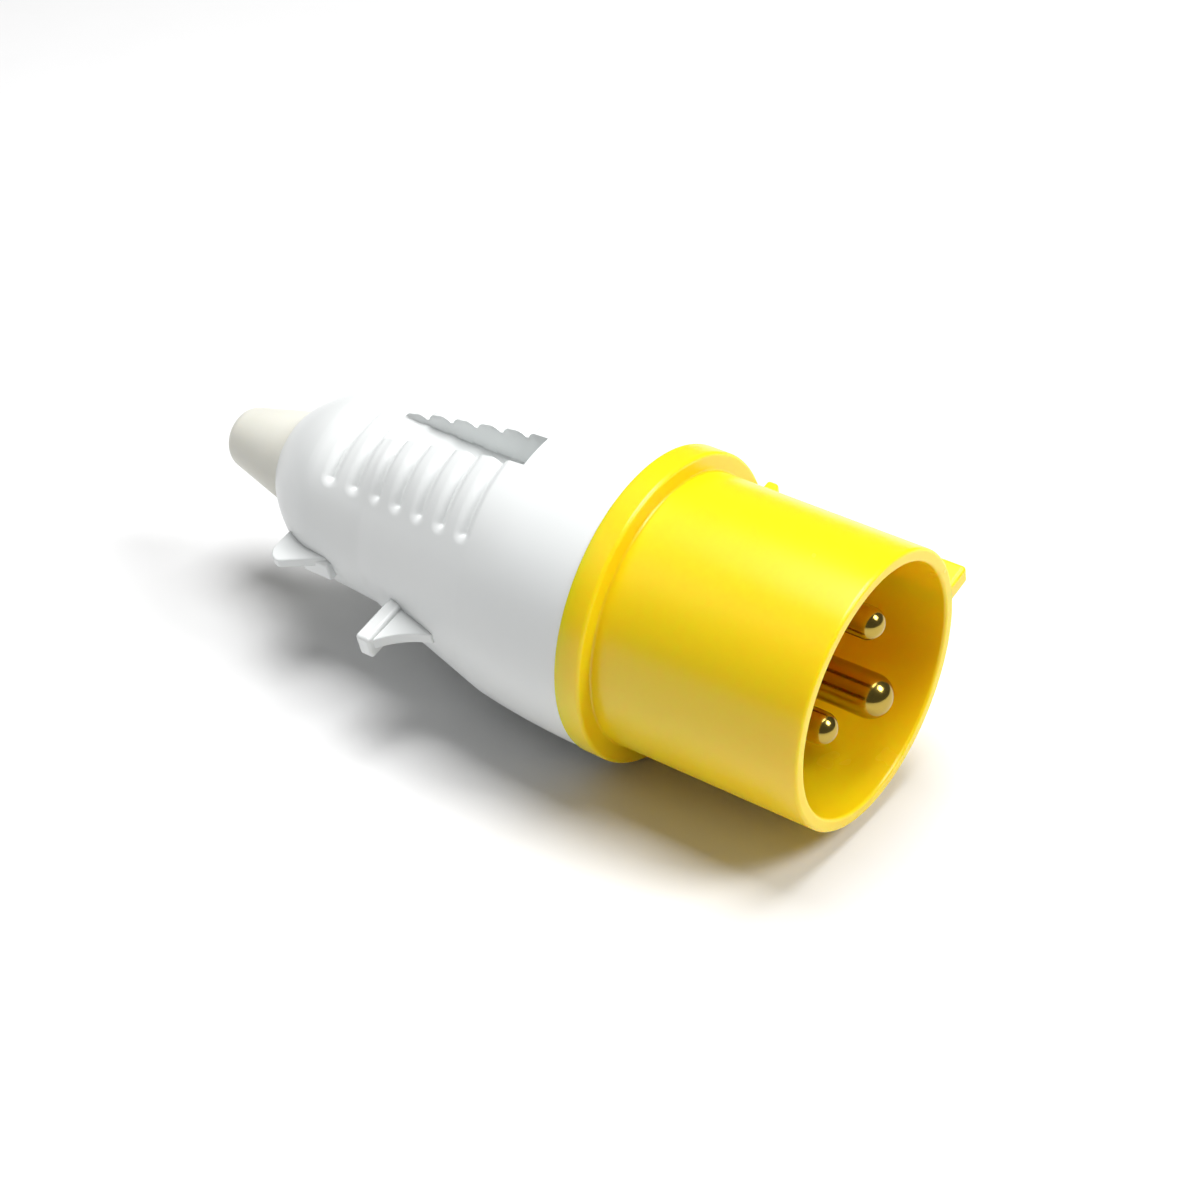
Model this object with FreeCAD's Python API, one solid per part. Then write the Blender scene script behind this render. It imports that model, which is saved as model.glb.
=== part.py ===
import FreeCAD, Part
import math
import os

# Industrial pin-and-sleeve plug for 16 A, two poles and earth, in the 110 V keying.
# It lies on its side: the axis runs along X, the pins point to +X and +Z is up.
# The origin is the centre of the sleeve's mouth, and every station is measured from there.
# All lengths are millimetres and all angles are degrees.
# Radii are built from the pins outwards: carrier, ledge, sleeve, flange, housing.

# The pins and their terminals
PIN_CIRCLE_R = 9.5
EARTH_R = 3.5
LINE_R = 2.5
TIP_SETBACK = 2.8
PIN_SEAT_DEPTH = 7.0
PIN_SEAT_RISE = 0.4
BARREL_R = 4.6
BARREL_TAIL = 12.0
COLLAR_RISE = 1.2
COLLAR_T = 2.0
WIRE_HOLE_R = 2.1
WIRE_HOLE_DEPTH = 9.0
EARTH_SCREW_R = 2.0
LINE_SCREW_R = 1.75
TERMINAL_HEAD_T = 1.8
TERMINAL_HEAD_RISE = 1.3
TERMINAL_HEAD_GAP = 0.3
TERMINAL_SETBACK = 5.0

# The contact carrier and the plate that locks the pins in it
CARRIER_WALL = 1.5
CARRIER_DISC_T = 3.0
CARRIER_LEN = 15.0
RETAINER_T = 2.5
RETAINER_STEP = 1.2
RETAINER_SCREW_R = 1.5
RETAINER_SCREW_LEN = 9.0

# The sleeve with its ledge, flange and spigot, a single moulding
LEDGE_STEP = 2.63
LEDGE_T = 2.6
SLEEVE_WALL = 2.12
SLEEVE_DRAFT = 0.15
SLEEVE_REACH = 35.0
SLEEVE_DEPTH = 37.0
RIM_ROUND = 0.5
FLANGE_RISE = 3.09
FLANGE_T = 4.35
FLANGE_ROUND = 0.6
SPIGOT_WALL = 2.2
SPIGOT_LEN = 12.0

# The key rib on the sleeve and the heel where it meets the flange
KEY_W = 3.2
KEY_RISE = 4.45
KEY_ROUND = 0.7
HEEL_W = 7.0
HEEL_RISE = 2.16
HEEL_LEN = 4.0
HEEL_SLOPE = 2.4

# The two long screws that hold carrier, sleeve and housing together
LONG_EDGE = 3.4
LONG_SCREW_R = 2.0
LONG_HEAD_R = 3.4
LONG_HEAD_T = 2.2
LONG_SCREW_LEN = 34.0
SLOT_W = 0.8
SLOT_DEPTH = 0.8

# The rear housing: lengths one after another from the flange back, and the drop over each
HOUSING_STEP = 0.24
BELL_LEN = 19.65
BELL_MID_DROP = 0.3
BELL_DROP = 1.3
CONE_LEN = 21.0
CONE_DROP = 5.2
BLEND_LEN = 3.5
NECK_STEP = 1.1
NECK_LEN = 12.5
NECK_TAPER = 0.8
SHOULDER_LEN = 13.0
SHOULDER_BULGE = 0.95
MOUTH_OUTER_R = 8.7
MOUTH_WALL = 0.8
MOUTH_LIP = 5.0
MOUTH_ROUND = 0.5
HOUSING_WALL = 2.4

# The grip: ribs that run round the housing, on both sides of a long groove
RIB_COUNT = 7
RIB_PITCH = 5.1
RIB_FIRST = 19.65
RIB_SECTION_R = 2.3
RIB_RISE = 1.35
RIB_HALF_SPAN = 38.0
GROOVE_HALF_W = 2.5
GROOVE_START = 17.15
GROOVE_DEPTH = 5.05
GROOVE_RUN = 27.5
GROOVE_SHALLOW = 0.87
GROOVE_FADE = 9.0
GROOVE_EXIT_DROP = 0.4
GROOVE_SKIN = 1.8

# The stop tabs in the plane of the key and the ears behind them
TAB_BACK = 36.65
TAB_T = 3.0
TAB_W = 4.2
TAB_RISE = 3.16
TAB_ROUND = 1.3
FIN_LEN = 8.6
FIN_W = 2.0
FIN_TOP_DROP = 0.9
FIN_HOLLOW = 0.9
FIN_TOE = 0.1
EAR_BACK = 62.1
EAR_LEN = 10.2
EAR_RISE = 4.4
EAR_ROUND = 2.6
EAR_W = 1.8
EAR_ROOT_DEPTH = 3.9
EAR_HEEL_T = 2.5
EAR_HEEL_W = 4.6
EAR_HEEL_RISE = 3.0

# The screw towers inside the housing
TOWER_WALL = 1.6
TOWER_GAP = 0.6
TOWER_LEN = 26.0
WEB_T = 2.0

# The rubber seal, the cable nozzle and the cord clamp
SEAL_W = 3.0
SEAL_INSET = 1.2
SEAL_FROM_FLANGE = 4.0
NOZZLE_OUT = 17.5
NOZZLE_TIP_R = 4.4
NOZZLE_TIP_ROUND = 2.0
NOZZLE_FLANGE_RISE = 2.3
NOZZLE_FLANGE_T = 2.5
NOZZLE_WALL = 2.0
CABLE_HOLE_R = 2.2
CABLE_HOLE_LEN = 3.0
CLAMP_RING_T = 3.0
CLAMP_BORE_STEP = 0.3
CLAMP_POST_OUT = 2.0
CLAMP_POST_R = 3.0
CLAMP_POST_BASE = 5.0
CLAMP_BED_LEN = 8.0
CLAMP_BED_T = 3.0
SADDLE_T = 2.4
SADDLE_W = 6.4
SADDLE_ARCH_R = 4.4
SADDLE_END_GAP = 0.6
CLAMP_SCREW_R = 1.5
CLAMP_SCREW_BITE = 4.6
CLAMP_HEAD_R = 2.5
CLAMP_HEAD_T = 1.8

# Clearances between pieces
SLIDE_CLEAR = 0.2
PIN_CLEAR = 0.1
SCREW_CLEAR = 0.1
THREAD_CLEAR = 0.05
BLIND_CLEAR = 0.5
SEAL_CLEAR = 0.25
SPIGOT_CLEAR = 0.6

# How the plug lies: the roll that brings the key round to where it rests
ROLL = 105.0

AXIS = FreeCAD.Vector(1, 0, 0)
UP = FreeCAD.Vector(0, 0, 1)
ORIGIN = FreeCAD.Vector(0, 0, 0)

# Radii that several pieces share, from the pins outwards
carrier_r = PIN_CIRCLE_R + BARREL_R + COLLAR_RISE + CARRIER_WALL
ledge_r = carrier_r + SLIDE_CLEAR
bore_r = ledge_r + LEDGE_STEP
rim_r = bore_r + SLEEVE_WALL
sleeve_root_r = rim_r + SLEEVE_DRAFT
flange_r = rim_r + FLANGE_RISE
housing_front_r = flange_r - HOUSING_STEP
housing_bore_r = housing_front_r - HOUSING_WALL
spigot_r = housing_bore_r - SPIGOT_CLEAR
bell_r = housing_front_r - BELL_DROP
cone_end_r = bell_r - CONE_DROP
neck_r = cone_end_r - NECK_STEP
neck_end_r = neck_r - NECK_TAPER
long_circle_r = carrier_r - LONG_EDGE

# Stations along the axis that several pieces share
flange_front = -SLEEVE_REACH
flange_back = flange_front - FLANGE_T
floor_x = -SLEEVE_DEPTH
seat_end = floor_x - PIN_SEAT_DEPTH
ledge_front = floor_x - CARRIER_DISC_T
ledge_back = ledge_front - LEDGE_T
spigot_end = flange_back - SPIGOT_LEN
carrier_back = floor_x - CARRIER_LEN
collar_front = carrier_back + COLLAR_T
retainer_back = carrier_back - RETAINER_T
barrel_end = retainer_back - BARREL_TAIL
terminal_x = barrel_end + TERMINAL_SETBACK
bell_end = flange_back - BELL_LEN
cone_end = bell_end - CONE_LEN
neck_start = cone_end - BLEND_LEN
neck_end = neck_start - NECK_LEN
mouth_x = neck_end - SHOULDER_LEN
lip_x = mouth_x + MOUTH_LIP

# Places on a dial seen from the pins' end, with the key at six o'clock
EARTH_HOUR = 8
LINE_HOURS = (12, 4)
SCREW_HOURS = (10, 2)


def vec(x, r):
    return FreeCAD.Vector(x, 0, r)


def line(a, b):
    return Part.LineSegment(vec(*a), vec(*b)).toShape()


def arc(a, b, c):
    return Part.Arc(vec(*a), vec(*b), vec(*c)).toShape()


def turned(edges):
    # A closed profile of stations and radii, turned right round the axis
    face = Part.Face(Part.Wire(edges))
    return face.revolve(ORIGIN, AXIS, 360)


def turned_points(points):
    # The same for a profile of straight runs
    closed = points + points[:1]
    return turned([line(a, b) for a, b in zip(closed, closed[1:])])


def rod(x_from, x_to, radius, y=0.0, z=0.0):
    # A round bar parallel to the axis
    start = min(x_from, x_to)
    length = abs(x_to - x_from)
    return Part.makeCylinder(radius, length, FreeCAD.Vector(start, y, z), AXIS)


def post(x, y, z_from, z_to, radius):
    # A round bar square to the axis, along +Z
    return Part.makeCylinder(radius, z_to - z_from, FreeCAD.Vector(x, y, z_from), UP)


def block(x_from, x_to, y_from, y_to, z_from, z_to):
    corner = FreeCAD.Vector(min(x_from, x_to), y_from, z_from)
    return Part.makeBox(abs(x_to - x_from), y_to - y_from, z_to - z_from, corner)


def spun(shape, angle):
    # A copy turned about the axis
    copy = shape.copy()
    copy.rotate(ORIGIN, AXIS, angle)
    return copy


def fused(shapes):
    return shapes[0].fuse(shapes[1:]).removeSplitter()


def clock(hour, radius):
    angle = math.radians(30.0 * hour)
    return radius * math.sin(angle), radius * math.cos(angle)


def circles_at(shape, x, radius):
    # The round edges of a turned shape that lie at one station with one radius
    found = []
    for edge in shape.Edges:
        box = edge.BoundBox
        flat = abs(box.XMin - x) < 0.01 and abs(box.XMax - x) < 0.01
        if flat and abs(box.ZMax - radius) < 0.01 and abs(box.ZMin + radius) < 0.01:
            found.append(edge)
    return found


# The sleeve: an open tube with draft, the flange, the ledge inside and the spigot
spigot_bore_r = spigot_r - SPIGOT_WALL
sleeve = turned([
    line((0, bore_r), (0, rim_r)),
    line((0, rim_r), (flange_front, sleeve_root_r)),
    line((flange_front, sleeve_root_r), (flange_front, flange_r)),
    line((flange_front, flange_r), (flange_back, flange_r)),
    line((flange_back, flange_r), (flange_back, spigot_r)),
    line((flange_back, spigot_r), (spigot_end, spigot_r)),
    line((spigot_end, spigot_r), (spigot_end, spigot_bore_r)),
    line((spigot_end, spigot_bore_r), (ledge_back, spigot_bore_r)),
    line((ledge_back, spigot_bore_r), (ledge_back, ledge_r)),
    line((ledge_back, ledge_r), (ledge_front, ledge_r)),
    line((ledge_front, ledge_r), (ledge_front, bore_r)),
    line((ledge_front, bore_r), (0, bore_r)),
])
rim_edges = circles_at(sleeve, 0, rim_r) + circles_at(sleeve, 0, bore_r)
sleeve = sleeve.makeFillet(RIM_ROUND, rim_edges)
sleeve = sleeve.makeFillet(FLANGE_ROUND, circles_at(sleeve, flange_front, flange_r))

# The groove that the rubber seal lies in
seal_front = flange_back - SEAL_FROM_FLANGE
seal_back = seal_front - SEAL_W
seal_bottom_r = spigot_r - SEAL_INSET
seal_groove = rod(seal_front, seal_back, spigot_r + 1)
seal_groove = seal_groove.cut(rod(seal_front, seal_back, seal_bottom_r))
sleeve = sleeve.cut(seal_groove)

# The key rib at six o'clock, with rounded crown, and its heel at the flange
key_top_r = rim_r + KEY_RISE
key_root_r = rim_r - SLEEVE_WALL / 2
key = block(0, flange_front, -KEY_W / 2, KEY_W / 2, -key_top_r, -key_root_r)
key_crown = [e for e in key.Edges if abs(e.BoundBox.ZMax + key_top_r) < 0.01 and e.BoundBox.XLength > 1]
key = key.makeFillet(KEY_ROUND, key_crown)
heel_top_r = flange_r + HEEL_RISE
heel_front = flange_front + HEEL_LEN
heel_mid = heel_front - HEEL_SLOPE
heel_side = Part.makePolygon([
    vec(flange_front, -heel_top_r),
    vec(heel_mid, -heel_top_r),
    vec(heel_front, -rim_r),
    vec(flange_front, -rim_r),
    vec(flange_front, -heel_top_r),
])
heel = Part.Face(heel_side).extrude(FreeCAD.Vector(0, HEEL_W, 0))
heel.translate(FreeCAD.Vector(0, -HEEL_W / 2, 0))
rib_parts = key.fuse(heel)
rib_parts = rib_parts.cut(rod(1, flange_back, key_root_r))
shroud = fused([sleeve, rib_parts])


def turned_pin(shank_r, screw_r, hour):
    # A domed shank, a thicker seat in the carrier, a barrel that takes the wire and its collar
    tip = -TIP_SETBACK
    seat_r = shank_r + PIN_SEAT_RISE
    collar_r = BARREL_R + COLLAR_RISE
    dome = shank_r * math.sqrt(0.5)
    pin = turned([
        line((barrel_end, 0), (tip, 0)),
        arc((tip, 0), (tip - shank_r + dome, dome), (tip - shank_r, shank_r)),
        line((tip - shank_r, shank_r), (floor_x, shank_r)),
        line((floor_x, shank_r), (floor_x, seat_r)),
        line((floor_x, seat_r), (seat_end, seat_r)),
        line((seat_end, seat_r), (seat_end, BARREL_R)),
        line((seat_end, BARREL_R), (collar_front, BARREL_R)),
        line((collar_front, BARREL_R), (collar_front, collar_r)),
        line((collar_front, collar_r), (carrier_back, collar_r)),
        line((carrier_back, collar_r), (carrier_back, BARREL_R)),
        line((carrier_back, BARREL_R), (barrel_end, BARREL_R)),
        line((barrel_end, BARREL_R), (barrel_end, 0)),
    ])
    wire_hole = rod(barrel_end - 1, barrel_end + WIRE_HOLE_DEPTH, WIRE_HOLE_R)
    screw_hole = post(terminal_x, 0, 0, BARREL_R + 1, screw_r + THREAD_CLEAR)
    pin = pin.cut(wire_hole).cut(screw_hole)
    pin.translate(vec(0, PIN_CIRCLE_R))
    return spun(pin, -30.0 * hour)


def slotted_head(radius, height, base):
    # A cheese head whose slot is cut across its top, standing on a plane along +Z
    head = post(0, 0, base, base + height, radius)
    slot = block(-radius - 1, radius + 1, -SLOT_W / 2, SLOT_W / 2, base + height - SLOT_DEPTH, base + height + 1)
    return head.cut(slot)


def terminal_screw(screw_r, hour):
    # It bears on the bottom of the wire hole and its head stands proud of the barrel
    foot = -WIRE_HOLE_R
    head_base = BARREL_R + TERMINAL_HEAD_GAP
    shank = post(0, 0, foot, head_base, screw_r)
    reach = screw_r + 1
    bearing = rod(-reach, reach, WIRE_HOLE_R)
    shank = shank.common(bearing.fuse(block(-reach, reach, -reach, reach, 0, head_base)))
    screw = shank.fuse(slotted_head(screw_r + TERMINAL_HEAD_RISE, TERMINAL_HEAD_T, head_base))
    screw.translate(vec(terminal_x, PIN_CIRCLE_R))
    return spun(screw, -30.0 * hour)


earth_pin = turned_pin(EARTH_R, EARTH_SCREW_R, EARTH_HOUR)
line_pin_a = turned_pin(LINE_R, LINE_SCREW_R, LINE_HOURS[0])
line_pin_b = turned_pin(LINE_R, LINE_SCREW_R, LINE_HOURS[1])
earth_terminal_screw = terminal_screw(EARTH_SCREW_R, EARTH_HOUR)
line_terminal_screws = Part.makeCompound([terminal_screw(LINE_SCREW_R, hour) for hour in LINE_HOURS])

# The contact carrier: a disc that seats on the ledge and a round body behind it
carrier = turned_points([
    (floor_x, 0),
    (floor_x, bore_r - SLIDE_CLEAR),
    (ledge_front, bore_r - SLIDE_CLEAR),
    (ledge_front, carrier_r),
    (carrier_back, carrier_r),
    (carrier_back, 0),
])
sized_pins = [(EARTH_R, EARTH_HOUR)] + [(LINE_R, hour) for hour in LINE_HOURS]
for shank_r, hour in sized_pins:
    y, z = clock(hour, PIN_CIRCLE_R)
    seat_hole_r = shank_r + PIN_SEAT_RISE + PIN_CLEAR
    carrier = carrier.cut(rod(floor_x + 1, seat_end, seat_hole_r, y, z))
    carrier = carrier.cut(rod(seat_end, collar_front, BARREL_R + PIN_CLEAR, y, z))
    carrier = carrier.cut(rod(collar_front, carrier_back - 1, BARREL_R + COLLAR_RISE + PIN_CLEAR, y, z))
for hour in SCREW_HOURS:
    y, z = clock(hour, long_circle_r)
    carrier = carrier.cut(rod(floor_x + 1, floor_x - LONG_HEAD_T, LONG_HEAD_R + SLIDE_CLEAR, y, z))
    carrier = carrier.cut(rod(floor_x, carrier_back - 1, LONG_SCREW_R + SCREW_CLEAR, y, z))
retainer_screw_tip = retainer_back + RETAINER_SCREW_LEN
carrier = carrier.cut(rod(carrier_back - 1, retainer_screw_tip, RETAINER_SCREW_R + THREAD_CLEAR))
contact_carrier = carrier.removeSplitter()

# The retaining plate, with holes for the barrels and scallops that clear the screw towers
tower_r = LONG_SCREW_R + TOWER_WALL
retainer = rod(carrier_back, retainer_back, carrier_r - RETAINER_STEP)
for shank_r, hour in sized_pins:
    y, z = clock(hour, PIN_CIRCLE_R)
    retainer = retainer.cut(rod(carrier_back + 1, retainer_back - 1, BARREL_R + PIN_CLEAR, y, z))
for hour in SCREW_HOURS:
    y, z = clock(hour, long_circle_r)
    retainer = retainer.cut(rod(carrier_back + 1, retainer_back - 1, tower_r + TOWER_GAP, y, z))
pin_retainer = retainer.cut(rod(carrier_back + 1, retainer_back - 1, RETAINER_SCREW_R + SCREW_CLEAR))


def axial_screw(radius, length, head_r, head_t, head_x, toward):
    # A slotted screw along the axis, its shank running toward +X or -X from under the head
    screw = post(0, 0, -length, 0, radius).fuse(slotted_head(head_r, head_t, 0))
    screw.rotate(ORIGIN, FreeCAD.Vector(0, 1, 0), -90 * toward)
    screw.translate(FreeCAD.Vector(head_x, 0, 0))
    return screw


retainer_head_r = RETAINER_SCREW_R + TERMINAL_HEAD_RISE
retainer_screw = axial_screw(
    RETAINER_SCREW_R, RETAINER_SCREW_LEN, retainer_head_r, TERMINAL_HEAD_T, retainer_back, 1)

long_seat = floor_x - LONG_HEAD_T
long_tip = long_seat - LONG_SCREW_LEN
long_screws = []
for hour in SCREW_HOURS:
    y, z = clock(hour, long_circle_r)
    screw = axial_screw(LONG_SCREW_R, LONG_SCREW_LEN, LONG_HEAD_R, LONG_HEAD_T, long_seat, -1)
    screw.translate(FreeCAD.Vector(0, y, z))
    long_screws.append(screw)
assembly_screws = Part.makeCompound(long_screws)

# The rubber seal fills its groove and bears on the housing's bore
body_seal = rod(seal_front, seal_back, housing_bore_r - SEAL_CLEAR)
body_seal = body_seal.cut(rod(seal_front, seal_back, seal_bottom_r))


def housing_run(inset):
    # The outline from flange to neck, drawn at a depth under the surface
    front = (flange_back, housing_front_r - inset)
    middle = (flange_back - BELL_LEN / 2, housing_front_r - BELL_MID_DROP - inset)
    bell = (bell_end, bell_r - inset)
    cone = (cone_end, cone_end_r - inset)
    neck = (neck_start, neck_r - inset)
    edges = [line((flange_back, 0), front), arc(front, middle, bell)]
    edges += [line(bell, cone), line(cone, neck)]
    edges += [line(neck, (neck_end, neck_end_r - inset))]
    return edges


# The housing's skin ends in a bulged shoulder, and its hollow in the seat of the nozzle
mouth = (mouth_x, MOUTH_OUTER_R)
shoulder_mid = (neck_end - SHOULDER_LEN / 2, (neck_end_r + MOUTH_OUTER_R) / 2 + SHOULDER_BULGE)
shoulder = [arc((neck_end, neck_end_r), shoulder_mid, mouth), line(mouth, (mouth_x, 0))]
housing_skin = turned(housing_run(0) + shoulder + [line((mouth_x, 0), (flange_back, 0))])
housing_skin = housing_skin.makeFillet(MOUTH_ROUND, circles_at(housing_skin, mouth_x, MOUTH_OUTER_R))

nozzle_neck_r = MOUTH_OUTER_R - MOUTH_WALL
nozzle_flange_r = nozzle_neck_r + NOZZLE_FLANGE_RISE
nozzle_seat_r = nozzle_flange_r + SLIDE_CLEAR
seat = (lip_x, nozzle_seat_r)
inner_neck_r = neck_end_r - HOUSING_WALL
seat_run = [line((neck_end, inner_neck_r), seat), line(seat, (lip_x, 0))]
hollow = turned(housing_run(HOUSING_WALL) + seat_run + [line((lip_x, 0), (flange_back, 0))])


def skin_r(x):
    # The housing's outer radius at a station, taken along its straight runs
    stations = [flange_back, bell_end, cone_end, neck_start, neck_end]
    radii = [housing_front_r, bell_r, cone_end_r, neck_r, neck_end_r]
    for x0, x1, r0, r1 in zip(stations, stations[1:], radii, radii[1:]):
        if x1 <= x <= x0:
            return r0 + (r1 - r0) * (x - x0) / (x1 - x0)
    return neck_end_r


def grip_rib(x):
    # A rib of round section, swept round the housing and closed by ball ends
    centre = FreeCAD.Vector(x, skin_r(x) + RIB_RISE - RIB_SECTION_R, 0)
    section = Part.Face(Part.Wire([Part.makeCircle(RIB_SECTION_R, centre, UP)]))
    sweep = section.revolve(ORIGIN, AXIS, 2 * RIB_HALF_SPAN)
    ball = Part.makeSphere(RIB_SECTION_R, centre)
    whole = sweep.fuse([ball, spun(ball, 2 * RIB_HALF_SPAN)])
    return spun(whole, -RIB_HALF_SPAN)


first_rib = flange_back - RIB_FIRST
ribs = [grip_rib(first_rib - RIB_PITCH * i) for i in range(RIB_COUNT)]

# The finger groove: its floor falls below the cone at the front and runs out at the neck
groove_front = flange_back - GROOVE_START
groove_low = groove_front - GROOVE_RUN
groove_rear = groove_low - GROOVE_FADE
groove_floor_front = skin_r(groove_front) - GROOVE_DEPTH
groove_floor_rear = skin_r(groove_low) - GROOVE_SHALLOW
groove_exit_r = neck_r - GROOVE_EXIT_DROP


def groove_prism(half_w, skin):
    open_r = flange_r + RIB_SECTION_R
    side = Part.makePolygon([
        FreeCAD.Vector(groove_front + skin, groove_floor_front - skin, 0),
        FreeCAD.Vector(groove_low, groove_floor_rear - skin, 0),
        FreeCAD.Vector(groove_rear - skin, groove_exit_r - skin, 0),
        FreeCAD.Vector(groove_rear - skin, open_r, 0),
        FreeCAD.Vector(groove_front + skin, open_r, 0),
        FreeCAD.Vector(groove_front + skin, groove_floor_front - skin, 0),
    ])
    prism = Part.Face(side).extrude(FreeCAD.Vector(0, 0, 2 * half_w))
    prism.translate(FreeCAD.Vector(0, 0, -half_w))
    return prism


# The stop tab: an upright plate across the axis with a hollow-edged fin in front of it
tab_r = flange_r + TAB_RISE
tab_back = flange_back - TAB_BACK
tab_front = tab_back + TAB_T
fin_end = tab_front + FIN_LEN
tab_root = skin_r(tab_back) - HOUSING_WALL / 2
plate = block(tab_back, tab_front, -TAB_W / 2, TAB_W / 2, tab_root, tab_r)
plate_ends = [e for e in plate.Edges if abs(e.BoundBox.ZMin - tab_r) < 0.01 and e.BoundBox.XLength > 1]
plate = plate.makeFillet(TAB_ROUND, plate_ends)
fin_top = (tab_front, tab_r - FIN_TOP_DROP)
fin_toe = (fin_end, skin_r(fin_end) + FIN_TOE)
fin_mid = ((fin_top[0] + fin_toe[0]) / 2, (fin_top[1] + fin_toe[1]) / 2 - FIN_HOLLOW)
fin_side = Part.Wire([
    line((tab_front, tab_root), fin_top),
    arc(fin_top, fin_mid, fin_toe),
    line(fin_toe, (fin_end, tab_root)),
    line((fin_end, tab_root), (tab_front, tab_root)),
])
fin = Part.Face(fin_side).extrude(FreeCAD.Vector(0, FIN_W, 0))
fin.translate(FreeCAD.Vector(0, -FIN_W / 2, 0))

# The ear behind it: a flat hook with a rounded tail and a heel under its front end
ear_back = flange_back - EAR_BACK
ear_front = ear_back + EAR_LEN
ear_root = neck_end_r - EAR_ROOT_DEPTH
ear_tip_r = neck_end_r + EAR_RISE
ear_tip = (ear_back + EAR_ROUND, ear_tip_r)
ear_low = (ear_back, ear_tip_r - EAR_ROUND)
ear_mid = (ear_tip[0] - EAR_ROUND * math.sqrt(0.5), ear_low[1] + EAR_ROUND * math.sqrt(0.5))
ear_side = Part.Wire([
    line((ear_back, ear_root), ear_low),
    arc(ear_low, ear_mid, ear_tip),
    line(ear_tip, (ear_front, skin_r(ear_front))),
    line((ear_front, skin_r(ear_front)), (ear_front, ear_root)),
    line((ear_front, ear_root), (ear_back, ear_root)),
])
ear = Part.Face(ear_side).extrude(FreeCAD.Vector(0, EAR_W, 0))
ear.translate(FreeCAD.Vector(0, -EAR_W / 2, 0))
ear_heel = block(ear_front - EAR_HEEL_T, ear_front, -EAR_HEEL_W, 0, ear_root, neck_end_r + EAR_HEEL_RISE)

# Everything that stands out of the skin comes twice, half a turn apart
outside = []
for turn in (0, 180):
    outside += [spun(piece, turn) for piece in ribs + [plate, fin, ear, ear_heel]]
housing = housing_skin.fuse(outside)
for turn in (0, 180):
    housing = housing.cut(spun(groove_prism(GROOVE_HALF_W, 0), turn))
    hollow = hollow.cut(spun(groove_prism(GROOVE_HALF_W + GROOVE_SKIN, GROOVE_SKIN), turn))
housing = housing.cut(hollow)
housing = housing.cut(rod(mouth_x - 1, lip_x + 1, nozzle_neck_r + PIN_CLEAR))

# The towers that the long screws bite into, each tied to the wall by a web
tower_front = retainer_back - TOWER_GAP
tower_rear = tower_front - TOWER_LEN
towers = []
for hour in SCREW_HOURS:
    y, z = clock(hour, long_circle_r)
    web = block(tower_rear, tower_front, -WEB_T / 2, WEB_T / 2, long_circle_r, bell_r - HOUSING_WALL / 2)
    towers.append(rod(tower_front, tower_rear, tower_r, y, z))
    towers.append(spun(web, -30.0 * hour))
tower_group = towers[0].fuse(towers[1:]).common(housing_skin)
housing = housing.fuse(tower_group)
for hour in SCREW_HOURS:
    y, z = clock(hour, long_circle_r)
    housing = housing.cut(rod(tower_front + 1, long_tip - BLIND_CLEAR, LONG_SCREW_R + THREAD_CLEAR, y, z))
rear_housing = housing.removeSplitter()

# The cable nozzle: a rubber cone, hollow inside, with a flange behind the housing's lip
nozzle_tip = mouth_x - NOZZLE_OUT
flange_face = lip_x + NOZZLE_FLANGE_T
cone_inner_r = nozzle_neck_r - NOZZLE_WALL
hole_start = nozzle_tip + CABLE_HOLE_LEN
nozzle = turned([
    line((flange_face, cone_inner_r), (flange_face, nozzle_flange_r)),
    line((flange_face, nozzle_flange_r), (lip_x, nozzle_flange_r)),
    line((lip_x, nozzle_flange_r), (lip_x, nozzle_neck_r)),
    line((lip_x, nozzle_neck_r), (mouth_x, nozzle_neck_r)),
    line((mouth_x, nozzle_neck_r), (nozzle_tip, NOZZLE_TIP_R)),
    line((nozzle_tip, NOZZLE_TIP_R), (nozzle_tip, CABLE_HOLE_R)),
    line((nozzle_tip, CABLE_HOLE_R), (hole_start, CABLE_HOLE_R)),
    line((hole_start, CABLE_HOLE_R), (mouth_x, cone_inner_r)),
    line((mouth_x, cone_inner_r), (flange_face, cone_inner_r)),
])
cable_nozzle = nozzle.makeFillet(NOZZLE_TIP_ROUND, circles_at(nozzle, nozzle_tip, NOZZLE_TIP_R))

# The cord clamp: a ring that traps the nozzle's flange, a bed for the cord and two posts
clamp_bore_r = nozzle_neck_r - CLAMP_BORE_STEP
post_span = clamp_bore_r + CLAMP_POST_OUT
clamp_r = inner_neck_r - SLIDE_CLEAR
clamp_front = flange_face + CLAMP_RING_T
bed_front = clamp_front + CLAMP_BED_LEN
wall_slope = (inner_neck_r - nozzle_seat_r) / (neck_end - lip_x)
clamp_back_r = nozzle_seat_r + wall_slope * (flange_face - lip_x) - SLIDE_CLEAR
clamp_front_r = min(clamp_r, nozzle_seat_r + wall_slope * (clamp_front - lip_x) - SLIDE_CLEAR)
ring = turned_points([
    (flange_face, clamp_bore_r),
    (flange_face, clamp_back_r),
    (clamp_front, clamp_front_r),
    (clamp_front, clamp_bore_r),
])
bed = rod(clamp_front, bed_front, clamp_bore_r + CLAMP_BED_T)
bed = bed.common(block(clamp_front, bed_front, -clamp_r, clamp_r, -clamp_r, 0))
post_x = clamp_front + CLAMP_BED_LEN / 2
posts = [post(post_x, side * post_span, -CLAMP_POST_BASE, 0, CLAMP_POST_R) for side in (-1, 1)]
clamp = ring.fuse([bed] + posts)
clamp = clamp.common(rod(flange_face, bed_front, clamp_r))
clamp = clamp.cut(rod(flange_face - 1, bed_front + 1, clamp_bore_r))
for side in (-1, 1):
    pilot = post(post_x, side * post_span, -CLAMP_POST_BASE - 1, 1, CLAMP_SCREW_R + THREAD_CLEAR)
    clamp = clamp.cut(pilot)
cord_clamp = clamp.removeSplitter()

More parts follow.
